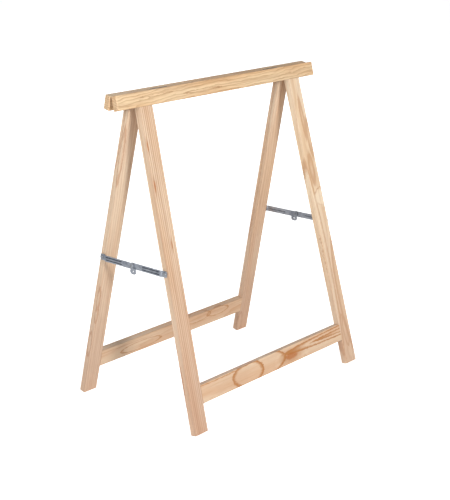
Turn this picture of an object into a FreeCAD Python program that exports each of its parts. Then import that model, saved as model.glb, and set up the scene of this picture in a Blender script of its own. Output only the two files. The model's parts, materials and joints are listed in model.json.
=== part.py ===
# Folding sawhorse: two pine frames hinged along their top rails and held open by two
# folding steel braces. Millimetres, +Z up, origin on the floor under the middle of the rails.
# X runs along the rails, -Y is the front. The model stands open, its working position.
import FreeCAD, Part
import math
import os

Vector = FreeCAD.Vector
xAxis = Vector(1, 0, 0)
yAxis = Vector(0, 1, 0)
zAxis = Vector(0, 0, 1)
origin = Vector(0, 0, 0)

# Driving dimensions of the wooden frames
totalHeight = 750.0
railLength = 664.0
railHeight = 33.5
boardThickness = 16.5
legWidth = 39.0
stretcherHeight = 43.0
stretcherDrop = 662.0     # down the leg from the hinge axis to the stretcher's top edge
legTopOffset = 270.0      # middle of the rail to the leg's outer side, at the hinge axis
legAngle = 13.6           # each frame leans this far out when open
legFlare = 2.0            # legs spread this far sideways
innerGap = 0.5            # hinge axis to a frame's inner face
edgeRadius = 1.2
railEdgeRadius = 2.6      # the rail's ends and top, softened for carrying

# Joints in the wood
dowelRadius = 4.0
dowelLength = 40.0
dowelPlay = 0.02
dowelEndGap = 1.0
legDowelSpacing = 18.0
stretcherDowelSpacing = 21.0

# Butt hinges
hingeOffset = 190.0
hingeLength = 50.0
leafWidth = 22.0
leafThickness = 1.5
knuckleRadius = 1.9
knuckleCount = 3
knuckleGap = 0.3
pinRadius = 0.9
pinPlay = 0.06
pinHeadRadius = 1.5
pinHeadLength = 1.0
pocketRadius = 2.5
leafScrewRadius = 1.5
leafScrewHead = 3.0
leafScrewDepth = 11.0
leafScrewSpacing = 17.0
leafScrewDrop = 13.0
screwPlay = 0.02

# Braces: positions along the leg, then layers outwards from the leg's side
bracePivotDrop = 400.0
armLength = 102.5
armWidth = 14.4
armThickness = 1.5
armGap = 1.3
seatGap = 0.25
washerThickness = 1.0
washerRadius = 5.5
padGap = 0.2
innerStep = 1.8
stepStart = 8.5
innerStepEnd = 11.0
outerStepEnd = 14.0
ribStart = 17.5
ribEnd = 70.0
ribRadius = 1.8
ribRise = 0.8
grooveRadius = 1.5
grooveDepth = 0.9
grooveOffset = 3.2
armEnd = 5.2              # from the leg's pivot to the arm's square end
armCorner = 2.5
armHoleRadius = 2.8
armScrewRadius = 2.5
armScrewHead = 4.6
armScrewHeadHeight = 2.2
armScrewDepth = 22.0
earDrop = 12.0
earRadius = 7.0
earReach = 5.5            # the ear's middle, past the rivet
earStretch = 2.5          # half the straight part of its outline
earHoleRadius = 2.0
rivetRadius = 2.5
rivetHead = 4.4
rivetHeadHeight = 1.1
rivetBore = 1.3
burrRadius = 4.2
burrThickness = 1.0

# Worked-out dimensions
legAngleRad = math.radians(legAngle)
flareSlope = math.tan(math.radians(legFlare))
outerFace = innerGap + boardThickness
hingeHeight = totalHeight - outerFace * math.sin(legAngleRad)
footLift = edgeRadius * (math.cos(legAngleRad) + math.sin(legAngleRad) - 1)
footDrop = (hingeHeight + innerGap * math.sin(legAngleRad) + footLift) / math.cos(legAngleRad)
stretcherBottom = stretcherDrop + stretcherHeight
middleDepth = innerGap + boardThickness / 2
hingePoint = Vector(0, 0, hingeHeight)


def box(xRange, nRange, sRange):
    """A box in a frame's own space: x along the rail, n out from the inner face, s down the leg."""
    size = (xRange[1] - xRange[0], nRange[1] - nRange[0], sRange[1] - sRange[0])
    return Part.makeBox(*size, Vector(xRange[0], nRange[0], -sRange[1]))


def prism(points, nRange):
    """A flat board: an outline of (x, s) points, as thick as nRange."""
    corners = [Vector(x, nRange[0], -s) for x, s in points]
    face = Part.Face(Part.makePolygon(corners + corners[:1]))
    return face.extrude(Vector(0, nRange[1] - nRange[0], 0))


def rod(radius, start, direction, length):
    return Part.makeCylinder(radius, length, start, direction)


def roundEdges(solid, keepSharp, radius=edgeRadius):
    """Eases every edge whose middle isn't in the part that keepSharp names."""
    edges = [edge for edge in solid.Edges if not keepSharp(edge.CenterOfMass)]
    return solid.makeFillet(radius, edges)


def place(shape, side):
    """Moves a shape from the upright back frame's space to its open place, front or back."""
    placed = shape.copy()
    if side == "front":
        placed = placed.mirror(origin, yAxis)
    placed.rotate(origin, xAxis, legAngle if side == "back" else -legAngle)
    placed.translate(hingePoint)
    return placed


def mirrored(shape):
    return shape.mirror(origin, xAxis)


def save(name, shapes):
    """Writes one node: a single solid, or a group of separate fasteners."""
    solid = shapes[0] if len(shapes) == 1 else Part.makeCompound(shapes)
    if not solid.isValid():
        raise ValueError("bad shape: " + name)
    solid.exportStep("parts/" + name + ".step")
    print(name, len(solid.Solids), round(solid.Volume / 1000, 2))


def legOuter(drop):
    """Distance from the middle to the leg's outer side, at a distance down from the hinge."""
    return legTopOffset + flareSlope * drop


# Wooden frames -----------------------------------------------------------------------------

def legDowels(play):
    """Two dowels from the right leg up into the rail, along the leg."""
    lean = Vector(flareSlope, 0, -1).normalize()
    middle = legOuter(railHeight) - legWidth / 2
    reach = dowelLength / 2 + (dowelEndGap if play else 0)
    found = []
    for offset in (-legDowelSpacing / 2, legDowelSpacing / 2):
        centre = Vector(middle + offset, middleDepth, -railHeight)
        found.append(rod(dowelRadius - (0 if play else dowelPlay), centre - lean * reach, lean, 2 * reach))
    return found


def stretcherDowels(play):
    """Two dowels from the stretcher's right end into the leg."""
    centreDrop = stretcherDrop + stretcherHeight / 2
    reach = dowelLength / 2 + (dowelEndGap if play else 0)
    found = []
    for offset in (-stretcherDowelSpacing / 2, stretcherDowelSpacing / 2):
        drop = centreDrop + offset
        start = Vector(legOuter(drop) - legWidth - reach, middleDepth, -drop)
        found.append(rod(dowelRadius - (0 if play else dowelPlay), start, xAxis, 2 * reach))
    return found


def makeLeg():
    outline = [(legOuter(railHeight) - legWidth, railHeight), (legOuter(railHeight), railHeight),
               (legOuter(footDrop), footDrop), (legOuter(footDrop) - legWidth, footDrop)]
    leg = prism(outline, (innerGap, outerFace))
    leg = roundEdges(leg, lambda point: point.z > -railHeight - 1)
    for cutter in legDowels(True) + stretcherDowels(True) + [braceScrewHole()]:
        leg = leg.cut(cutter)
    return leg


def makeStretcher():
    outline = []
    for drop, sides in ((stretcherDrop, (-1, 1)), (stretcherBottom, (1, -1))):
        outline += [(side * (legOuter(drop) - legWidth), drop) for side in sides]
    board = prism(outline, (innerGap, outerFace))
    shoulder = legOuter(stretcherDrop) - legWidth - 1
    board = roundEdges(board, lambda point: abs(point.x) > shoulder)
    for cutter in stretcherDowels(True):
        board = board.cut(cutter).cut(mirrored(cutter))
    return board


def makeRail():
    rail = box((-railLength / 2, railLength / 2), (innerGap, outerFace), (0, railHeight))
    isUnder = lambda point: point.z < -railHeight + 0.01 and abs(point.x) < railLength / 4
    rail = roundEdges(rail, isUnder, railEdgeRadius)
    rail = roundEdges(rail, lambda point: not isUnder(point))
    for cutter in legDowels(True):
        rail = rail.cut(cutter).cut(mirrored(cutter))
    for centre in (-hingeOffset, hingeOffset):
        rail = rail.cut(hingePocket(centre))
        for cutter in leafScrews(centre, screwPlay):
            rail = rail.cut(cutter)
    return rail


# Hinges ------------------------------------------------------------------------------------

def hingePocket(centre):
    """The recess for a leaf, and the hollow along the rail's top that the knuckle turns in."""
    half = hingeLength / 2
    recess = box((centre - half, centre + half), (0, innerGap + leafThickness), (-1, leafWidth))
    hollowHalf = half + pinHeadLength + knuckleGap
    hollow = rod(pocketRadius, Vector(centre - hollowHalf, 0, 0), xAxis, 2 * hollowHalf)
    return recess.fuse(hollow)


def leafScrews(centre, play):
    """Three countersunk screws through a leaf into the rail, or the holes they need."""
    found = []
    for offset in (-leafScrewSpacing, 0, leafScrewSpacing):
        start = Vector(centre + offset, innerGap, -leafScrewDrop)
        head = Part.makeCone(leafScrewHead + play, leafScrewRadius + play, leafThickness, start, yAxis)
        shank = rod(leafScrewRadius + play, start, yAxis, leafScrewDepth + play)
        found.append(head.fuse(shank).removeSplitter())
    return found


def makeLeaf(centre, side):
    """One leaf: a plate with its own knuckles, cleared for the other leaf's."""
    half = hingeLength / 2
    leaf = box((centre - half, centre + half), (innerGap, innerGap + leafThickness), (0, leafWidth))
    segment = hingeLength / knuckleCount
    own = [0, 2] if side == "front" else [1]
    for index in range(knuckleCount):
        start = centre - half + index * segment
        if index in own:
            barrel = rod(knuckleRadius, Vector(start, 0, 0), xAxis, segment)
            leaf = leaf.fuse(barrel)
    for index in range(knuckleCount):
        start = centre - half + index * segment
        if index not in own:
            clear = rod(pocketRadius, Vector(start - knuckleGap, 0, 0), xAxis, segment + 2 * knuckleGap)
            leaf = leaf.cut(clear)
    leaf = leaf.cut(rod(pinRadius + pinPlay, Vector(centre - hingeLength, 0, 0), xAxis, 2 * hingeLength))
    for cutter in leafScrews(centre, screwPlay):
        leaf = leaf.cut(cutter)
    return leaf


def makeHingePin(centre):
    half = hingeLength / 2
    pin = rod(pinRadius, Vector(centre - half - pinHeadLength, 0, 0), xAxis, hingeLength + 2 * pinHeadLength)
    for start in (centre - half - pinHeadLength, centre + half):
        pin = pin.fuse(rod(pinHeadRadius, Vector(start, 0, 0), xAxis, pinHeadLength))
    return pin


# Braces ------------------------------------------------------------------------------------
# A brace is built on the right side, with x out from the leg, u from the leg's pivot towards
# the middle rivet and v up. The inner arm lies next to the legs and the outer arm over it.

seat = legOuter(bracePivotDrop) + seatGap
padLayer = seat + washerThickness + padGap
innerLayer = padLayer + innerStep
outerLayer = innerLayer + armThickness + armGap
pivotY = bracePivotDrop * math.sin(legAngleRad) + middleDepth * math.cos(legAngleRad)
pivotZ = hingeHeight - bracePivotDrop * math.cos(legAngleRad) + middleDepth * math.sin(legAngleRad)
foldedLift = math.degrees(math.acos(middleDepth / armLength))


def braceScrewHole():
    start = Vector(seat - armScrewDepth - screwPlay, middleDepth, -bracePivotDrop)
    return rod(armScrewRadius + screwPlay, start, xAxis, 2 * armScrewDepth)


def makeArm(layer, stepEnd, hasEar):
    """One pressed arm: a stepped strip with a raised rib between two grooves, and a round rivet end."""
    half = armWidth / 2
    tip = armLength + armWidth
    back = [(-armEnd, padLayer), (stepStart, padLayer), (stepEnd, layer), (tip, layer)]
    front = [(u, x + armThickness) for u, x in reversed(back)]
    profile = [Vector(x, u, -earDrop - earRadius) for u, x in back + front]
    strip = Part.Face(Part.makePolygon(profile + profile[:1])).extrude(Vector(0, 0, 2 * (earDrop + earRadius)))
    depth = 2 * (layer - padLayer + armThickness + 1)
    start = padLayer - 1
    outline = Part.makeBox(depth, armLength + armEnd, armWidth, Vector(start, -armEnd, -half))
    corners = [edge for edge in outline.Edges if edge.BoundBox.XLength > depth - 0.01 and edge.CenterOfMass.y < 0]
    outline = outline.makeFillet(armCorner, corners)
    outline = outline.fuse(rod(half, Vector(start, armLength, 0), xAxis, depth))
    ear = Vector(start, armLength + earReach, -earDrop)
    if hasEar:
        for shift in (-earStretch, earStretch):
            outline = outline.fuse(rod(earRadius, ear + yAxis * shift, xAxis, depth))
        outline = outline.fuse(Part.makeBox(depth, 2 * earStretch, 2 * earRadius,
                                            ear - Vector(0, earStretch, earRadius)))
    arm = strip.common(outline.removeSplitter())
    face = layer + armThickness
    for height, sunk in ((0, False), (grooveOffset, True), (-grooveOffset, True)):
        radius = grooveRadius if sunk else ribRadius
        level = face + (radius - grooveDepth if sunk else ribRise - radius)
        bead = rod(radius, Vector(level, ribStart, height), yAxis, ribEnd - ribStart)
        for u in (ribStart, ribEnd):
            bead = bead.fuse(Part.makeSphere(radius, Vector(level, u, height)))
        keep = Part.makeBox(ribRadius * 2, armLength, armWidth - 0.2, Vector(face - 1, 0, -half + 0.1))
        arm = arm.cut(bead) if sunk else arm.fuse(bead.common(keep))
    arm = arm.cut(rod(armHoleRadius, Vector(start, 0, 0), xAxis, depth))
    arm = arm.cut(rod(rivetRadius + screwPlay, Vector(start, armLength, 0), xAxis, depth))
    if hasEar:
        arm = arm.cut(rod(earHoleRadius, ear, xAxis, depth))
    return arm


def makeRivet():
    """The tubular rivet's headed half, which stays with the outer arm."""
    start = Vector(outerLayer, armLength, 0)
    rivet = rod(rivetRadius, start, xAxis, armThickness + rivetHeadHeight)
    head = rod(rivetHead, start + xAxis * armThickness, xAxis, rivetHeadHeight)
    rivet = rivet.fuse(head).removeSplitter()
    rim = [edge for edge in rivet.Edges if edge.CenterOfMass.x > outerLayer + armThickness + rivetHeadHeight - 0.01]
    rivet = rivet.makeFillet(rivetHeadHeight * 0.6, rim)
    return rivet.cut(rod(rivetBore, start, xAxis, 3 * armThickness))


def makeBurr():
    """The rivet's clinched half, which stays with the inner arm, with the spacer on its shank."""
    start = Vector(innerLayer - burrThickness, armLength, 0)
    burr = rod(burrRadius, start, xAxis, burrThickness)
    burr = burr.fuse(rod(rivetRadius, start, xAxis, burrThickness + armThickness))
    spacer = rod(burrRadius, start + xAxis * (burrThickness + armThickness), xAxis, armGap - 0.3)
    return burr.fuse(spacer).removeSplitter().cut(rod(rivetBore, start, xAxis, 4 * armThickness))


def makeArmWasher():
    washer = rod(washerRadius, Vector(seat, 0, 0), xAxis, washerThickness)
    return washer.cut(rod(armScrewRadius + screwPlay, Vector(seat - 1, 0, 0), xAxis, 4))


def makeArmScrew():
    top = padLayer + armThickness + padGap
    start = Vector(seat - armScrewDepth, 0, 0)
    screw = rod(armScrewRadius, start, xAxis, top - start.x)
    head = rod(armScrewHead, Vector(top, 0, 0), xAxis, armScrewHeadHeight)
    rim = [edge for edge in head.Edges if edge.CenterOfMass.x > top + armScrewHeadHeight - 0.01]
    head = head.makeFillet(armScrewHeadHeight * 0.6, rim)
    slot = Part.makeBox(2, 2 * armScrewHead + 1, 1.0, Vector(top + 1.2, -armScrewHead - 0.5, -0.5))
    return screw.fuse(head).removeSplitter().cut(slot)


def toBrace(shape, side, end):
    """Puts a brace piece at its leg: end is front or back, side is left or right."""
    placed = shape.copy()
    if end == "back":
        placed = placed.mirror(origin, yAxis)
    placed.translate(Vector(0, pivotY if end == "back" else -pivotY, pivotZ))
    if side == "left":
        placed.rotate(origin, zAxis, 180)
    return placed


# Write every node --------------------------------------------------------------------------

os.makedirs("parts", exist_ok=True)
leg = makeLeg()
stretcher = makeStretcher()
rail = makeRail()
for side in ("front", "back"):
    save(side + "_rail", [place(rail, side)])
    save(side + "_leg_right", [place(leg, side)])
    save(side + "_leg_left", [place(mirrored(leg), side)])
    save(side + "_stretcher", [place(stretcher, side)])
    for name, dowels in (("_leg_dowels", legDowels(False)), ("_stretcher_dowels", stretcherDowels(False))):
        save(side + name, [place(dowel, side) for dowel in dowels + [mirrored(dowel) for dowel in dowels]])
    screws = []
    for name, centre in (("left", -hingeOffset), ("right", hingeOffset)):
        save(name + "_hinge_" + side + "_leaf", [place(makeLeaf(centre, side), side)])
        screws += leafScrews(centre, 0)
    save(side + "_hinge_screws", [place(screw, side) for screw in screws])

for name, centre in (("left", -hingeOffset), ("right", hingeOffset)):
    save(name + "_hinge_pin", [place(makeHingePin(centre), "back")])

innerArm = makeArm(innerLayer, innerStepEnd, False)
outerArm = makeArm(outerLayer, outerStepEnd, True)
fasteners = {"screws": makeArmScrew(), "washers": makeArmWasher()}
# On the right the outer arm is on the front leg. The left brace is the same one, turned half round.
for side in ("left", "right"):
    outerEnd, innerEnd = ("front", "back") if side == "right" else ("back", "front")
    save(side + "_" + outerEnd + "_arm", [toBrace(outerArm, side, "front")])
    save(side + "_" + innerEnd + "_arm", [toBrace(innerArm, side, "back")])
    save(side + "_rivet", [toBrace(makeRivet(), side, "front")])
    save(side + "_rivet_washer", [toBrace(makeBurr(), side, "back")])
for kind, piece in fasteners.items():
    save("front_arm_" + kind, [toBrace(piece, "right", "front"), toBrace(piece, "left", "back")])
    save("back_arm_" + kind, [toBrace(piece, "right", "back"), toBrace(piece, "left", "front")])

print("hinge height", round(hingeHeight, 3), "brace pivot", round(pivotY, 3), round(pivotZ, 3))
print("arm lift when folded", round(foldedLift, 3), "arm swing", round(foldedLift - legAngle, 3))
print("arm layers", round(seat, 2), round(padLayer, 2), round(innerLayer, 2), round(outerLayer, 2))
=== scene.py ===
import json
import math
import bpy
from mathutils import Matrix, Vector


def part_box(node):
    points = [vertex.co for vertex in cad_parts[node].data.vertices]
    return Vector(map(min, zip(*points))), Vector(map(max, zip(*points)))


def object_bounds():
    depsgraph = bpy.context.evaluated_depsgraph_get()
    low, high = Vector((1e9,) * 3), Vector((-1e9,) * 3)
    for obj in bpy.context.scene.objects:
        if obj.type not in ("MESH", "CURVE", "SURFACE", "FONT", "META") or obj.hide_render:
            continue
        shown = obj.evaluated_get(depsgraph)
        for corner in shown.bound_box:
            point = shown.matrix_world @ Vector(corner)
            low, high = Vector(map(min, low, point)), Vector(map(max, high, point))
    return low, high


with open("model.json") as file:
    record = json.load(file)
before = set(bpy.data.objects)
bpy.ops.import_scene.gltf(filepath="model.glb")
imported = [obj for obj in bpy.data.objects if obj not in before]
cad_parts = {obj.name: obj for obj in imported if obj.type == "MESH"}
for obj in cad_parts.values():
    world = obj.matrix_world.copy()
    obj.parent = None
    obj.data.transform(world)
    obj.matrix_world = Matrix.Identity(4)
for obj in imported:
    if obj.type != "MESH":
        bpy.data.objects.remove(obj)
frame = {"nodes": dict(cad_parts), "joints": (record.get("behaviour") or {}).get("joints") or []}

cadLow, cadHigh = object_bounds()
scene = bpy.context.scene
joints = {joint["name"]: joint for joint in frame["joints"]}
print("stage 1: frame loaded with", len(frame["nodes"]), "nodes")

# ---- camera ----

cameraSettings = {
    "place": (-1.9591, -1.8341, 1.1437),
    "heading": 47.16,  # degrees right of +Y
    "down": 16.90,
    "roll": -0.86,
    "lens": 83.18,
    "farthest": 100.0,
}


def makeCamera(settings):
    heading, down = math.radians(settings["heading"]), math.radians(settings["down"])
    flat = math.cos(down)
    look = Vector((math.sin(heading) * flat, math.cos(heading) * flat, -math.sin(down)))
    roll = Matrix.Rotation(math.radians(settings["roll"]), 3, "Z")
    turn = look.to_track_quat("-Z", "Y").to_matrix() @ roll
    data = bpy.data.cameras.new("camera")
    data.lens = settings["lens"]
    data.clip_end = settings["farthest"]
    camera = bpy.data.objects.new("camera", data)
    scene.collection.objects.link(camera)
    camera.matrix_world = Matrix.Translation(settings["place"]) @ turn.to_4x4()
    scene.camera = camera


makeCamera(cameraSettings)

# ---- node helpers ----


def newNode(tree, kind, **settings):
    node = tree.nodes.new(kind)
    for name, value in settings.items():
        setattr(node, name, value)
    return node


def feed(tree, socket, value):  # a number, a tuple or another node's output
    if isinstance(value, bpy.types.NodeSocket):
        tree.links.new(value, socket)
    elif value is not None:
        socket.default_value = value


def calc(tree, operation, a, b=None):
    node = newNode(tree, "ShaderNodeMath", operation=operation)
    feed(tree, node.inputs[0], a)
    feed(tree, node.inputs[1], b)
    return node.outputs[0]


def plus(tree, a, b):
    return calc(tree, "ADD", a, b)


def minus(tree, a, b):
    return calc(tree, "SUBTRACT", a, b)


def times(tree, a, b):
    return calc(tree, "MULTIPLY", a, b)


def inverse(tree, mask):
    return minus(tree, 1.0, mask)


def absolute(tree, value):
    return calc(tree, "ABSOLUTE", value)


def vectorCalc(tree, operation, a, b=None):
    node = newNode(tree, "ShaderNodeVectorMath", operation=operation)
    feed(tree, node.inputs[0], a)
    feed(tree, node.inputs[1], b)
    return node.outputs["Value" if operation == "LENGTH" else "Vector"]


def stretch(tree, vector, pace):
    return vectorCalc(tree, "MULTIPLY", vector, pace)


def split(tree, vector):
    parts = newNode(tree, "ShaderNodeSeparateXYZ")
    feed(tree, parts.inputs[0], vector)
    return parts.outputs


def join(tree, value, factors):  # a vector of the value times each factor
    joined = newNode(tree, "ShaderNodeCombineXYZ")
    for socket, factor in zip(joined.inputs, factors):
        feed(tree, socket, times(tree, value, factor))
    return joined.outputs[0]


def noise(tree, vector, scale=1.0, detail=2.0, roughness=0.5, output="Fac"):
    node = newNode(tree, "ShaderNodeTexNoise")
    feed(tree, node.inputs["Vector"], vector)
    for name, value in (("Scale", scale), ("Detail", detail), ("Roughness", roughness)):
        feed(tree, node.inputs[name], value)
    return node.outputs[output]


def smooth(tree, value, low, high):  # 0 below low, 1 above high
    node = newNode(tree, "ShaderNodeMapRange", interpolation_type="SMOOTHSTEP")
    for name, item in (("Value", value), ("From Min", low), ("From Max", high)):
        feed(tree, node.inputs[name], item)
    return node.outputs["Result"]


def mixColor(tree, factor, a, b):
    node = newNode(tree, "ShaderNodeMix", data_type="RGBA")
    feed(tree, node.inputs["Factor"], factor)
    for socket, value in ((node.inputs[6], a), (node.inputs[7], b)):
        feed(tree, socket, (*value, 1.0) if isinstance(value, tuple) else value)
    return node.outputs[2]


def stain(tree, color, mask, amount, tint):  # lays the tint over the colour where the mask is
    return mixColor(tree, times(tree, mask, amount), color, tint)


def bumpNormal(tree, height, strength, distance):
    bump = newNode(tree, "ShaderNodeBump")
    for name, value in (("Height", height), ("Strength", strength), ("Distance", distance)):
        feed(tree, bump.inputs[name], value)
    return bump.outputs["Normal"]


def newGroup(name, inputs, outputs):
    tree = bpy.data.node_groups.new(name, "ShaderNodeTree")
    for label, kind, value in inputs:
        socket = tree.interface.new_socket(label, in_out="INPUT", socket_type="NodeSocket" + kind)
        if value is not None:
            socket.default_value = value
    for label in outputs:
        tree.interface.new_socket(label, in_out="OUTPUT", socket_type="NodeSocketFloat")
    return tree, newNode(tree, "NodeGroupInput").outputs, newNode(tree, "NodeGroupOutput").inputs


def useGroup(tree, group, **values):
    node = newNode(tree, "ShaderNodeGroup")
    node.node_tree = group
    for name, value in values.items():
        feed(tree, node.inputs[name], value)
    return node.outputs


def srgb(red, green, blue):  # 0 to 255, as a painter reads a colour, to linear light
    shares = (red / 255, green / 255, blue / 255)
    return tuple(s / 12.92 if s <= 0.04045 else ((s + 0.055) / 1.055) ** 2.4 for s in shares)


# ---- shared effects ----

grainShape = {  # each pattern: how fast it changes along and across the board, its detail and its roughness
    "wander": (3.2, 14.0, 1.5, 0.5),
    "wanderDeep": (5.9, 15.0, 1.0, 0.5),
    "ripple": (24.0, 90.0, 2.5, 0.5),
    "fibre": (26.0, 1100.0, 3.0, 0.65),
    "streak": (3.6, 190.0, 3.0, 0.62),
    "tone": (3.4, 34.0, 2.0, 0.5),
    "flecks": (48.0, 620.0, 1.0, 0.5),
    "fleckEdge": (0.70, 0.76),
    "latePower": 2.8,  # late wood darkens slowly through a ring, then stops short
    "lateEnd": 0.90,
    "seedStep": (3.17, 1.73, 0.91),
}


def makePineGrain(shape):
    # Growth rings round a pith line beside the board: x runs along the board, y across, z out of its face.
    tree, take, give = newGroup("pineGrain", [
        ("Vector", "Vector", None), ("Pitch", "Float", 0.004), ("PithAcross", "Float", 0.05),
        ("PithDeep", "Float", 0.02), ("Taper", "Float", 0.01), ("Wander", "Float", 0.003),
        ("Ripple", "Float", 0.3), ("Push", "Float", 0.0), ("Seed", "Float", 0.0)],
        ["Late", "RingTone", "Fibre", "Streak", "Tone", "Flecks"])
    place = vectorCalc(tree, "ADD", take["Vector"], join(tree, take["Seed"], shape["seedStep"]))

    def pattern(kind):
        along, across, detail, roughness = shape[kind]
        paced = stretch(tree, place, (along, across, across))
        return noise(tree, paced, detail=detail, roughness=roughness)

    def sway(kind, amount):  # to both sides of zero
        return times(tree, minus(tree, pattern(kind), 0.5), amount)

    along, across, deep = split(tree, take["Vector"])
    side = plus(tree, minus(tree, across, take["PithAcross"]), sway("wander", take["Wander"]))
    depth = plus(tree, minus(tree, deep, take["PithDeep"]), sway("wanderDeep", take["Wander"]))
    depth = minus(tree, depth, times(tree, along, take["Taper"]))
    square = plus(tree, times(tree, side, side), times(tree, depth, depth))
    rings = calc(tree, "DIVIDE", calc(tree, "SQRT", square), take["Pitch"])
    rings = plus(tree, plus(tree, rings, sway("ripple", take["Ripple"])), take["Push"])
    phase = calc(tree, "FRACT", rings)
    fall = inverse(tree, smooth(tree, phase, shape["lateEnd"], 1.0))
    feed(tree, give["Late"], times(tree, calc(tree, "POWER", phase, shape["latePower"]), fall))
    ringNoise = newNode(tree, "ShaderNodeTexWhiteNoise", noise_dimensions="1D")
    feed(tree, ringNoise.inputs["W"], plus(tree, calc(tree, "FLOOR", rings), take["Seed"]))
    feed(tree, give["RingTone"], ringNoise.outputs["Value"])
    feed(tree, give["Fibre"], pattern("fibre"))
    feed(tree, give["Streak"], pattern("streak"))
    feed(tree, give["Tone"], pattern("tone"))
    feed(tree, give["Flecks"], smooth(tree, pattern("flecks"), *shape["fleckEdge"]))
    return tree


figureShape = {  # the line's wobble, then its soft inner and sharper outer edge
    "pace": (26.0, 55.0, 55.0), "scale": 5.0, "reach": (2.5, 1.0, 1.0),
    "inner": (-1.0, -0.1), "outer": (0.0, 0.35),
}


def makeGrowthFigure(shape):
    # One bold growth ring where it meets the surface as a loop, an eye or a long arc.
    tree, take, give = newGroup("growthFigure", [
        ("Vector", "Vector", None), ("Centre", "Vector", None), ("Radii", "Vector", None),
        ("Width", "Float", 0.1), ("Wobble", "Float", 0.004)], ["Line"])
    stir = noise(tree, stretch(tree, take["Vector"], shape["pace"]), scale=shape["scale"], output="Color")
    stir = vectorCalc(tree, "SUBTRACT", stir, (0.5, 0.5, 0.5))
    reach = join(tree, take["Wobble"], shape["reach"])
    place = vectorCalc(tree, "ADD", take["Vector"], vectorCalc(tree, "MULTIPLY", stir, reach))
    offset = vectorCalc(tree, "DIVIDE", vectorCalc(tree, "SUBTRACT", place, take["Centre"]), take["Radii"])
    away = minus(tree, vectorCalc(tree, "LENGTH", offset), 1.0)
    share = calc(tree, "DIVIDE", away, take["Width"])
    rise = smooth(tree, share, *shape["inner"])
    fall = inverse(tree, smooth(tree, share, *shape["outer"]))
    feed(tree, give["Line"], times(tree, rise, fall))
    return tree


knotShape = {
    "blurPace": (160.0, 160.0, 160.0), "blur": 0.5, "rings": 4.0, "ringLow": 0.72, "ringRise": 0.28,
    "core": (0.6, 1.05), "halo": (0.8, 2.4), "bell": -0.16,
}


def makeKnot(shape):
    # A knot seen on a face: it pushes the rings round itself and has a dark core with its own rings.
    tree, take, give = newGroup("knot", [
        ("Vector", "Vector", None), ("Centre", "Vector", None), ("Radius", "Float", 0.008),
        ("Long", "Float", 1.6), ("Lift", "Float", 1.5)], ["Core", "Halo", "Push"])
    x, y, _ = split(tree, vectorCalc(tree, "SUBTRACT", take["Vector"], take["Centre"]))
    along = calc(tree, "DIVIDE", x, take["Long"])
    square = plus(tree, times(tree, along, along), times(tree, y, y))
    blur = noise(tree, stretch(tree, take["Vector"], shape["blurPace"]))
    share = calc(tree, "DIVIDE", calc(tree, "SQRT", square), take["Radius"])
    share = plus(tree, share, times(tree, minus(tree, blur, 0.5), shape["blur"]))
    phase = calc(tree, "FRACT", times(tree, share, shape["rings"]))
    rings = plus(tree, shape["ringLow"], times(tree, phase, shape["ringRise"]))
    feed(tree, give["Core"], times(tree, inverse(tree, smooth(tree, share, *shape["core"])), rings))
    feed(tree, give["Halo"], inverse(tree, smooth(tree, share, *shape["halo"])))
    bell = calc(tree, "EXPONENT", times(tree, times(tree, share, share), shape["bell"]))
    feed(tree, give["Push"], times(tree, bell, take["Lift"]))
    return tree


edgeShape = {"ragPace": (90.0, 260.0, 260.0), "ragDetail": 3.0, "rag": 0.5, "end": (0.0002, 0.0012)}


def makeBoardEdges(shape):
    # Edge is 1 along a board's edges and 0 on its faces, with a ragged border. End is 1 on its end grain.
    tree, take, give = newGroup("boardEdges", [
        ("Vector", "Vector", None), ("HalfSize", "Vector", None), ("Width", "Float", 0.002)],
        ["Edge", "End"])
    inner = vectorCalc(tree, "SUBTRACT", take["HalfSize"], vectorCalc(tree, "ABSOLUTE", take["Vector"]))
    x, y, z = split(tree, inner)
    least, larger = calc(tree, "MINIMUM", y, z), calc(tree, "MAXIMUM", y, z)
    second = calc(tree, "MINIMUM", larger, calc(tree, "MAXIMUM", x, least))
    ragged = noise(tree, stretch(tree, take["Vector"], shape["ragPace"]), detail=shape["ragDetail"])
    reach = times(tree, take["Width"], plus(tree, ragged, shape["rag"]))
    feed(tree, give["Edge"], inverse(tree, smooth(tree, second, 0.0, reach)))
    feed(tree, give["End"], inverse(tree, smooth(tree, x, *shape["end"])))
    return tree


handlingShape = {
    "cloudDetail": 4.0, "cloudRoughness": 0.62, "dotScale": 900.0, "dotDetail": 1.0, "dotEdge": (0.70, 0.78),
}


def makeHandling(shape):
    # Soft cloudy soiling and rubbing at hand size, the same on wood and steel.
    tree, take, give = newGroup("handling", [("Vector", "Vector", None), ("Size", "Float", 14.0)],
                                ["Cloud", "Specks"])
    cloud = noise(tree, take["Vector"], scale=take["Size"], detail=shape["cloudDetail"],
                  roughness=shape["cloudRoughness"])
    feed(tree, give["Cloud"], cloud)
    dots = noise(tree, take["Vector"], scale=shape["dotScale"], detail=shape["dotDetail"])
    feed(tree, give["Specks"], smooth(tree, dots, *shape["dotEdge"]))
    return tree


pineGrain = makePineGrain(grainShape)
growthFigure = makeGrowthFigure(figureShape)
knot = makeKnot(knotShape)
boardEdges = makeBoardEdges(edgeShape)
handling = makeHandling(handlingShape)
print("stage 2: shared effects made")

# ---- pine boards ----

frameShape = {
    "lean": joints["frame_fold"]["range_deg"][1] / 2,
    "flare": 2.0,
    "thickness": 0.0165,
    "legWidth": 0.039,
    "railHeight": 0.0335,
    "stretcherHeight": 0.043,
}

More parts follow.
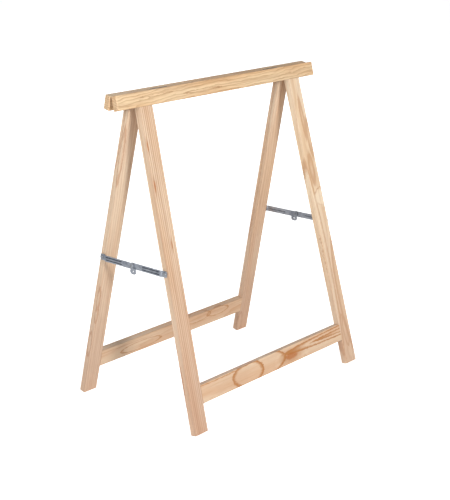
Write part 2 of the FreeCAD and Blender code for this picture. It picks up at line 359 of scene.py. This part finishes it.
pineTones = {
    "rail": {"early": srgb(234, 206, 166), "late": srgb(164, 114, 70), "warm": srgb(228, 188, 142)},
    "leg": {"early": srgb(230, 206, 178), "late": srgb(176, 122, 86), "warm": srgb(221, 187, 154)},
    "yellowLeg": {"early": srgb(238, 216, 188), "late": srgb(190, 138, 94), "warm": srgb(234, 204, 168),
                  "pale": srgb(244, 224, 196)},
    "stretcher": {"early": srgb(226, 198, 168), "late": srgb(182, 118, 58), "warm": srgb(218, 180, 146)},
}

# Placed one by one, with centres in millimetres along, across and out of the board.
# dark and pale: centre, radii in millimetres, and the line's width as a share of the radii.
# knots: centre, radius in metres, and how many times longer than wide. flecks: centre and radius in metres.
boards = {
    "front_rail": {
        "tone": "rail", "pitch": 0.0052, "across": -0.050, "deep": -0.03, "taper": 0.045, "wander": 0.022,
        "ripple": 1.7, "lines": 0.88, "streaks": 0.36, "bold": 0.7,
        "dark": [((-60, 38, 8), (330, 22, 60), 0.07), ((120, 33, 8), (130, 17, 60), 0.12),
                 ((-70, -4, 8), (60, 3, 30), 0.5), ((-215, 4, 8), (50, 2, 30), 0.5)]},
    "back_rail": {
        "tone": "rail", "pitch": 0.0045, "across": 0.06, "deep": -0.02, "taper": -0.03, "wander": 0.018,
        "ripple": 1.5, "lines": 0.9, "streaks": 0.4},
    "front_leg_left": {
        "tone": "leg", "pitch": 0.0052, "across": 0.1226, "deep": -0.02, "taper": 0.004, "wander": 0.004,
        "ripple": 0.25, "lines": 1.5, "streaks": 0.4,
        "flecks": [((193, 14, 8), 0.0022), ((281, 15, 8), 0.0018), ((60, -6, 8), 0.0015)]},
    "front_leg_right": {
        "tone": "yellowLeg", "pitch": 0.014, "across": 0.028, "deep": -0.05, "taper": 0.06, "wander": 0.03,
        "ripple": 0.5, "lines": 0.4, "streaks": 0.2, "bold": 0.62,
        "dark": [((268, -2, 8), (46, 6, 9), 1.4), ((215, -13, 8), (46, 7, 9), 1.2),
                 ((139, 2, 8), (36, 9, 9), 1.3), ((66, -19.5, 8), (24, 33, 20), 0.2),
                 ((-70, 54, 8), (330, 34, 40), 0.10), ((-90, 38, 8), (300, 34, 40), 0.16),
                 ((-190, -30, 8), (160, 30, 30), 0.3), ((-285, -2, 8), (40, 9, 12), 0.35),
                 ((-330, 3, 8), (90, 15, 12), 0.12)],
        "pale": [((-80, 46, 8), (330, 34, 40), 0.12), ((62, -22, 8), (15, 24, 20), 2.5)]},
    "back_leg_left": {
        "tone": "leg", "pitch": 0.0056, "across": -0.05, "deep": 0.03, "taper": 0.02, "wander": 0.012,
        "ripple": 0.3, "lines": 0.55, "streaks": 0.35,
        "dark": [((310, -20, 12), (110, 9, 12), 0.3), ((250, -20, -6), (70, 7, 5), 0.6),
                 ((-110, -20, -6), (30, 6, 5), 0.6), ((-152, -20, -8), (22, 6, 6), 0.6),
                 ((-235, -20, 0), (34, 6, 6), 0.5)]},
    "back_leg_right": {
        "tone": "leg", "pitch": 0.0060, "across": -0.06, "deep": 0.04, "taper": 0.02, "wander": 0.012,
        "ripple": 0.35, "lines": 0.6, "streaks": 0.35,
        "dark": [((170, -20, 4), (240, 5, 5), 0.5), ((-345, -14, -8), (38, 8, 8), 0.3)]},
    "front_stretcher": {
        "tone": "stretcher", "pitch": 0.020, "across": 0.01, "deep": -0.06, "taper": 0.03, "wander": 0.02,
        "ripple": 0.5, "lines": 0.14, "streaks": 0.18, "bold": 0.95, "wobble": 0.005,
        "dark": [((-98, -1, 8), (53, 27, 40), 0.24), ((-170, 2, 8), (208, 40, 30), 0.065),
                 ((330, 6, 8), (290, 12.5, 30), 0.30), ((360, 6, 8), (210, 5.5, 30), 0.45),
                 ((-200, 64, 8), (300, 47, 40), 0.05)],
        "knots": [((58, -4, 8), 0.0090, 2.9)]},
    "back_stretcher": {
        "tone": "stretcher", "pitch": 0.012, "across": 0.02, "deep": -0.05, "taper": 0.05, "wander": 0.02,
        "ripple": 0.5, "lines": 0.5, "streaks": 0.3, "bold": 0.75,
        "dark": [((158, -10, -8), (42, 12, 20), 0.2), ((80, -12, -8), (50, 14, 20), 0.16),
                 ((-120, 4, -8), (70, 12, 20), 0.16)]},
}


def boardSpace(name):
    # The board's centre, the turn from the world to its own axes, and half its size.
    front = name.startswith("front")
    lean = math.radians(frameShape["lean"])
    outward = Vector((0, -math.cos(lean) if front else math.cos(lean), math.sin(lean)))
    up = Vector((0, math.sin(lean) if front else -math.sin(lean), math.cos(lean)))
    low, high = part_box(name)
    centre = (low + high) / 2
    if "leg" in name:
        side = 1 if "right" in name else -1
        along = (up - Vector((side * math.tan(math.radians(frameShape["flare"])), 0, 0))).normalized()
        length = (high.z - low.z) / math.cos(lean)
        half = (length / 2, frameShape["legWidth"] / 2, frameShape["thickness"] / 2)
    else:
        along = Vector((1, 0, 0))
        height = frameShape["railHeight" if "rail" in name else "stretcherHeight"]
        half = ((high.x - low.x) / 2, height / 2, frameShape["thickness"] / 2)
    across = outward.cross(along)
    return centre, Matrix((along, across, outward)), half


def most(tree, masks):  # the largest of several masks at each point
    found = masks[0]
    for mask in masks[1:]:
        found = calc(tree, "MAXIMUM", found, mask)
    return found


def metres(sizes):
    return tuple(size / 1000 for size in sizes)


pineFinish = {  # a pair is where a mask starts and ends, a number beside a tint how strongly it shows
    "warm": (0.35, 0.68), "ringLow": 0.6, "ringRise": 0.4, "bold": 0.6, "wobble": 0.004, "pale": 0.8,
    "streakEdge": (0.50, 0.70), "fibreEdge": (0.5, 0.75), "fibre": 0.20,
    "flecks": 0.30, "fleckTint": srgb(160, 104, 62), "fleckLong": 7.0, "fleckLift": 0.3,
    "halo": 0.50, "core": 0.9, "coreTint": srgb(182, 108, 50),
    # the narrow-face tint is painted shade with a grey painted reflection on rails and stretchers
    "narrowShadeEdge": (0.0012, 0.0002), "narrowShade": 0.38, "narrowShadeTint": srgb(146, 128, 114),
    # the leg-foot tint is painted shade darkening the legs toward the ground
    "lowerShadeTop": 0.15, "lowerShade": 0.36, "lowerShadeTint": srgb(184, 138, 118),
    "end": 0.22, "endTint": srgb(196, 150, 112),
    "edgeWidth": 0.0028, "edge": 0.22, "edgeTint": srgb(190, 152, 120),
    "soilSize": 9.0, "soilEdge": (0.45, 0.75), "soil": 0.14, "soilTint": srgb(186, 146, 118),
    "rough": 0.52, "fibreRough": 0.20, "lateSmooth": 0.12, "specular": 0.5,
    "lateHeight": 0.6, "fibreHeight": 0.5, "bumpStrength": 0.35, "bumpDistance": 0.0004,
}


def makePine(name, board, seed, finish=pineFinish):
    centre, turn, half = boardSpace(name)
    tone = pineTones[board["tone"]]
    material = bpy.data.materials.new("pine_" + name)
    material.use_nodes = True
    tree = material.node_tree
    shader = tree.nodes["Principled BSDF"]
    coordinates = newNode(tree, "ShaderNodeTexCoord").outputs["Object"]
    mapping = newNode(tree, "ShaderNodeMapping", vector_type="POINT")
    mapping.inputs["Rotation"].default_value = turn.to_euler("XYZ")
    mapping.inputs["Location"].default_value = -(turn @ centre)
    feed(tree, mapping.inputs["Vector"], coordinates)
    place = mapping.outputs["Vector"]
    along, across, _ = split(tree, place)

    knots = [useGroup(tree, knot, Vector=place, Centre=metres(spot), Radius=radius, Long=long)
             for spot, radius, long in board.get("knots", [])]
    knots += [useGroup(tree, knot, Vector=place, Centre=metres(spot), Radius=radius,
                       Long=finish["fleckLong"], Lift=finish["fleckLift"])
              for spot, radius in board.get("flecks", [])]
    push = 0.0
    for found in knots:
        push = plus(tree, push, found["Push"])
    grain = useGroup(tree, pineGrain, Vector=place, Pitch=board["pitch"], PithAcross=board["across"],
                     PithDeep=board["deep"], Taper=board["taper"], Wander=board["wander"],
                     Ripple=board["ripple"], Push=push, Seed=float(seed))
    edges = useGroup(tree, boardEdges, Vector=place, HalfSize=half, Width=finish["edgeWidth"])
    soil = useGroup(tree, handling, Vector=coordinates, Size=finish["soilSize"])

    strength = plus(tree, finish["ringLow"], times(tree, grain["RingTone"], finish["ringRise"]))
    late = times(tree, grain["Late"], times(tree, strength, board["lines"]))
    figures = {}
    for kind in ("pale", "dark"):
        shapes = [useGroup(tree, growthFigure, Vector=place, Centre=metres(spot), Radii=metres(radii),
                           Width=width, Wobble=board.get("wobble", finish["wobble"]))
                  for spot, radii, width in board.get(kind, [])]
        if shapes:
            figures[kind] = most(tree, [shape["Line"] for shape in shapes])
    if "dark" in figures:
        late = calc(tree, "MAXIMUM", late, times(tree, figures["dark"], board.get("bold", finish["bold"])))

    color = mixColor(tree, smooth(tree, grain["Tone"], *finish["warm"]), tone["early"], tone["warm"])
    color = mixColor(tree, late, color, tone["late"])
    if "pale" in figures:
        color = stain(tree, color, figures["pale"], finish["pale"], tone["pale"])
    streaks = smooth(tree, grain["Streak"], *finish["streakEdge"])
    color = stain(tree, color, streaks, board["streaks"], tone["late"])
    fibre = smooth(tree, grain["Fibre"], *finish["fibreEdge"])
    color = stain(tree, color, fibre, finish["fibre"], tone["late"])
    color = stain(tree, color, grain["Flecks"], finish["flecks"], finish["fleckTint"])
    if knots:
        halo = most(tree, [found["Halo"] for found in knots])
        core = most(tree, [found["Core"] for found in knots])
        color = stain(tree, color, halo, finish["halo"], tone["late"])
        color = stain(tree, color, core, finish["core"], finish["coreTint"])
    if "rail" in name or "stretcher" in name:  # painted shade and a grey painted reflection on the narrow faces
        start, stop = (half[1] - margin for margin in finish["narrowShadeEdge"])
        narrowShade = smooth(tree, absolute(tree, across), start, stop)
        color = stain(tree, color, narrowShade, finish["narrowShade"], finish["narrowShadeTint"])
    if "leg" in name:  # painted shade: legs darken toward the ground, as the light falls off
        lowerShade = inverse(tree, smooth(tree, along, -half[0], finish["lowerShadeTop"]))
        color = stain(tree, color, lowerShade, finish["lowerShade"], finish["lowerShadeTint"])
    color = stain(tree, color, edges["End"], finish["end"], finish["endTint"])
    color = stain(tree, color, edges["Edge"], finish["edge"], finish["edgeTint"])
    clouds = smooth(tree, soil["Cloud"], *finish["soilEdge"])
    color = stain(tree, color, clouds, finish["soil"], finish["soilTint"])
    feed(tree, shader.inputs["Base Color"], color)

    rough = plus(tree, finish["rough"], times(tree, grain["Fibre"], finish["fibreRough"]))
    rough = minus(tree, rough, times(tree, late, finish["lateSmooth"]))
    feed(tree, shader.inputs["Roughness"], rough)
    shader.inputs["Specular IOR Level"].default_value = finish["specular"]
    fibreHeight = times(tree, grain["Fibre"], finish["fibreHeight"])
    height = plus(tree, times(tree, late, finish["lateHeight"]), fibreHeight)
    normal = bumpNormal(tree, height, finish["bumpStrength"], finish["bumpDistance"])
    feed(tree, shader.inputs["Normal"], normal)
    return material


def dress(name, material):
    piece = frame["nodes"][name]
    piece.data.materials.clear()
    piece.data.materials.append(material)


for seed, (name, board) in enumerate(boards.items()):
    dress(name, makePine(name, board, seed + 1))
print("stage 3: pine boards finished")

# ---- steel ----

steels = {
    "zincSheet": {"color": srgb(180, 186, 196), "shade": srgb(144, 150, 162), "rough": 0.42, "metal": 0.72},
    # the hinge leaves' zinc is a darker, browner copy: painted shade for the groove between the rails
    "shadedZincLeaf": {"color": srgb(150, 142, 132), "shade": srgb(118, 110, 100), "rough": 0.50, "metal": 0.70},
    "zincScrew": {"color": srgb(186, 190, 196), "shade": srgb(148, 152, 160), "rough": 0.36, "metal": 0.85},
}

pressing = {  # the arms' grooves in metres, for the painted shade that lies in them, and the shade's soft borders
    "inner": 0.28722, "outer": 0.29002, "sheet": 0.0015, "offset": 0.0032, "halfWidth": 0.0013,
    "near": 0.0315, "far": 0.0860, "height": 0.359276,
    "faceEdge": (0.0006, 0.00005), "backEdge": (0.0002, 0.0004), "sideSoft": 0.0004, "endSoft": 0.0005,
    "ribEdge": (0.0010, 0.0018), "onBack": 0.7,
}


def paintedGrooveShade(tree, place, layer, shape=pressing):
    # Painted shade: 1 down in the pressed grooves of an arm, fainter behind its rib, 0 elsewhere.
    x, y, z = split(tree, vectorCalc(tree, "ABSOLUTE", place))
    start, stop = (layer + shape["sheet"] - margin for margin in shape["faceEdge"])
    deep = inverse(tree, smooth(tree, x, start, stop))
    start, stop = (layer + margin for margin in shape["backEdge"])
    notBack = smooth(tree, x, start, stop)
    rise = absolute(tree, minus(tree, z, shape["height"]))
    off = absolute(tree, minus(tree, rise, shape["offset"]))
    inGroove = inverse(tree, smooth(tree, off, shape["halfWidth"], shape["halfWidth"] + shape["sideSoft"]))
    middle, half = (shape["near"] + shape["far"]) / 2, (shape["far"] - shape["near"]) / 2
    beyond = absolute(tree, minus(tree, y, middle))
    inLength = inverse(tree, smooth(tree, beyond, half - shape["endSoft"], half + shape["endSoft"]))
    underRib = inverse(tree, smooth(tree, rise, *shape["ribEdge"]))
    front = times(tree, times(tree, deep, notBack), inGroove)
    back = times(tree, times(tree, inverse(tree, notBack), underRib), shape["onBack"])
    return times(tree, calc(tree, "MAXIMUM", front, back), inLength)


steelFinish = {  # a pair is where a mask starts and ends, a number beside a tint how strongly it shows
    "soilSize": 60.0, "brushPace": (900.0, 60.0, 1400.0), "brushDetail": 3.0, "brushRoughness": 0.6,
    "shadeEdge": (0.38, 0.68), "brushEdge": (0.5, 0.7), "brushShade": 0.35,
    # the groove tint and its strength are painted shade in the arms' pressed grooves
    "specks": 0.4, "speckTint": srgb(110, 108, 106), "grooveShade": 0.85, "grooveShadeTint": srgb(64, 70, 80),
    "roughDrop": 0.08, "cloudRough": 0.2, "grooveShadeRough": 0.2, "brushRough": 0.1,
    "bumpStrength": 0.2, "bumpDistance": 0.0001,
}


def makeSteel(name, steel, layer=None, finish=steelFinish):
    material = bpy.data.materials.new(name)
    material.use_nodes = True
    tree = material.node_tree
    shader = tree.nodes["Principled BSDF"]
    place = newNode(tree, "ShaderNodeTexCoord").outputs["Object"]
    soil = useGroup(tree, handling, Vector=place, Size=finish["soilSize"])
    brush = noise(tree, stretch(tree, place, finish["brushPace"]), detail=finish["brushDetail"],
                  roughness=finish["brushRoughness"])
    shaded = smooth(tree, soil["Cloud"], *finish["shadeEdge"])
    color = mixColor(tree, shaded, steel["color"], steel["shade"])
    brushed = smooth(tree, brush, *finish["brushEdge"])
    color = stain(tree, color, brushed, finish["brushShade"], steel["shade"])
    color = stain(tree, color, soil["Specks"], finish["specks"], finish["speckTint"])
    rough = plus(tree, steel["rough"] - finish["roughDrop"], times(tree, soil["Cloud"], finish["cloudRough"]))
    if layer:
        # painted shade darkens the pressed grooves of the arm
        grooveShade = paintedGrooveShade(tree, place, layer)
        color = stain(tree, color, grooveShade, finish["grooveShade"], finish["grooveShadeTint"])
        rough = plus(tree, rough, times(tree, grooveShade, finish["grooveShadeRough"]))
    feed(tree, shader.inputs["Base Color"], color)
    feed(tree, shader.inputs["Roughness"], plus(tree, rough, times(tree, brush, finish["brushRough"])))
    shader.inputs["Metallic"].default_value = steel["metal"]
    height = plus(tree, brush, soil["Cloud"])
    normal = bumpNormal(tree, height, finish["bumpStrength"], finish["bumpDistance"])
    feed(tree, shader.inputs["Normal"], normal)
    return material


zincArms = {key: makeSteel("zincArm_" + key, steels["zincSheet"], pressing[key])
            for key in ("inner", "outer")}
# the hinge leaves get the darker zinc, painted shade for the groove between the rails
shadedZincLeaf = makeSteel("shadedZincLeaf", steels["shadedZincLeaf"])
zincScrew = makeSteel("zincScrew", steels["zincScrew"])
for name in frame["nodes"]:
    if name.endswith("_arm"):  # the arm with the ear is the outer one, front on the right and back on the left
        dress(name, zincArms["outer" if name in ("right_front_arm", "left_back_arm") else "inner"])
    elif name not in boards and "dowel" not in name:
        dress(name, shadedZincLeaf if "_hinge_" in name else zincScrew)
dowelBoard = {"tone": "leg", "pitch": 0.002, "across": 0.02, "deep": 0.01, "taper": 0.0, "wander": 0.004,
              "ripple": 0.2, "lines": 0.5, "streaks": 0.2}
dowelSeed = 20
for name in ("front_leg_dowels", "front_stretcher_dowels", "back_leg_dowels", "back_stretcher_dowels"):
    dress(name, makePine(name, dowelBoard, dowelSeed))
sharpAngle = 30  # degrees between faces above which an edge stays sharp
for piece in frame["nodes"].values():
    bpy.ops.object.select_all(action="DESELECT")
    piece.select_set(True)
    bpy.context.view_layer.objects.active = piece
    bpy.ops.object.shade_smooth_by_angle(angle=math.radians(sharpAngle))
print("stage 4: steel finished")

# ---- floor and light ----

white = (1.0, 1.0, 1.0, 1.0)
studio = {
    "floorSize": 80.0, "floor": 0.9, "floorRough": 0.9, "floorSpecular": 0.1, "floorGlow": 0.75, "sky": 0.28,
}
lamps = {
    "keyLeft": {"place": (-3.9, -0.7, 2.0), "size": 1.8, "power": 62},
    "keyFront": {"place": (-1.25, -3.75, 2.1), "size": 0.7, "power": 112},
    "backFill": {"place": (2.6, 4.4, 2.6), "size": 3.2, "power": 110},
}


def makeFloor():
    bpy.ops.mesh.primitive_plane_add(size=studio["floorSize"], location=(0, 0, 0))
    floor = bpy.context.active_object
    floor.name = "floor"
    material = bpy.data.materials.new("paleFloor")
    material.use_nodes = True
    tree = material.node_tree
    shader = tree.nodes["Principled BSDF"]
    shader.inputs["Base Color"].default_value = (studio["floor"],) * 3 + (1.0,)
    shader.inputs["Roughness"].default_value = studio["floorRough"]
    shader.inputs["Specular IOR Level"].default_value = studio["floorSpecular"]
    shader.inputs["Emission Color"].default_value = white
    seen = newNode(tree, "ShaderNodeLightPath").outputs["Is Camera Ray"]
    feed(tree, shader.inputs["Emission Strength"], times(tree, seen, studio["floorGlow"]))
    floor.data.materials.append(material)


def makeLamp(name, lamp):
    data = bpy.data.lights.new(name, "AREA")
    data.size = lamp["size"]
    data.energy = lamp["power"]
    light = bpy.data.objects.new(name, data)
    scene.collection.objects.link(light)
    aim = (cadLow + cadHigh) / 2 - Vector(lamp["place"])
    turn = aim.to_track_quat("-Z", "Y").to_matrix().to_4x4()
    light.matrix_world = Matrix.Translation(lamp["place"]) @ turn


bpy.ops.object.select_all(action="DESELECT")
makeFloor()
for name, lamp in lamps.items():
    makeLamp(name, lamp)
scene.world = bpy.data.worlds.new("studio")
scene.world.use_nodes = True
sky = scene.world.node_tree
background = sky.nodes["Background"]
background.inputs["Color"].default_value = white
seenSky = newNode(sky, "ShaderNodeLightPath").outputs["Is Camera Ray"]
feed(sky, background.inputs["Strength"], calc(sky, "MAXIMUM", seenSky, studio["sky"]))
scene.view_settings.view_transform = "Standard"
print("stage 5: floor and light set")
